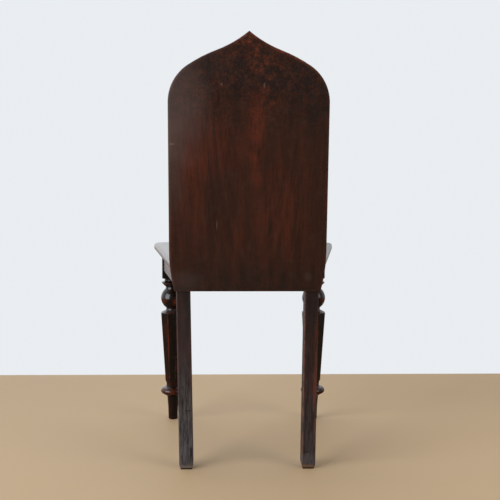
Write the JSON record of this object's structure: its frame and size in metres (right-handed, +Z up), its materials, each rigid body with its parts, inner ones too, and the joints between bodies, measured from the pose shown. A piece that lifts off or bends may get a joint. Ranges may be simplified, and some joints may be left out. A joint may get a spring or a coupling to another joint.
{
  "type": "hall chair",
  "caption": "Wooden hall chair with a solid ogee-headed back board, a level tapered seat, turned and faceted front legs and square raked rear legs.",
  "frame": {"origin": "on the floor, under the middle of the chair's width and depth", "axes": "+Z up, -Y the way the sitter looks, +X at the sitter's left hand"},
  "size_m": [0.4482, 0.4478, 0.9418],
  "materials": {
    "back_panel_wood": "dark wax polish over mahogany, worn at the arrises",
    "seat_wood": "dark wax polish, glossy from use",
    "rail_wood": "dark wax polish",
    "front_leg_wood": "near black polish, red brown where it is worn",
    "rear_leg_wood": "dull worn polish, greyer towards the floor",
    "brace_wood": "unpolished softwood, darkened by age",
    "screw_steel": "dull, lightly rusted"
  },
  "bodies": {
    "root": {"back_panel": "back_panel_wood", "seat_board": "seat_wood", "front_rail": "rail_wood", "back_rail": "rail_wood", "side_rail_left": "rail_wood", "side_rail_right": "rail_wood", "front_leg_left": "front_leg_wood", "front_leg_right": "front_leg_wood", "rear_leg_left": "rear_leg_wood", "rear_leg_right": "rear_leg_wood", "front_corner_brace_left": "brace_wood", "front_corner_brace_right": "brace_wood", "rear_corner_brace_left": "brace_wood", "rear_corner_brace_right": "brace_wood", "front_glue_block_left": "brace_wood", "front_glue_block_right": "brace_wood", "side_glue_block_front_left": "brace_wood", "side_glue_block_front_right": "brace_wood", "side_glue_block_rear_left": "brace_wood", "side_glue_block_rear_right": "brace_wood", "seat_screws": "screw_steel", "back_screws": "screw_steel", "brace_screws": "screw_steel"}
  },
  "joints": []
}
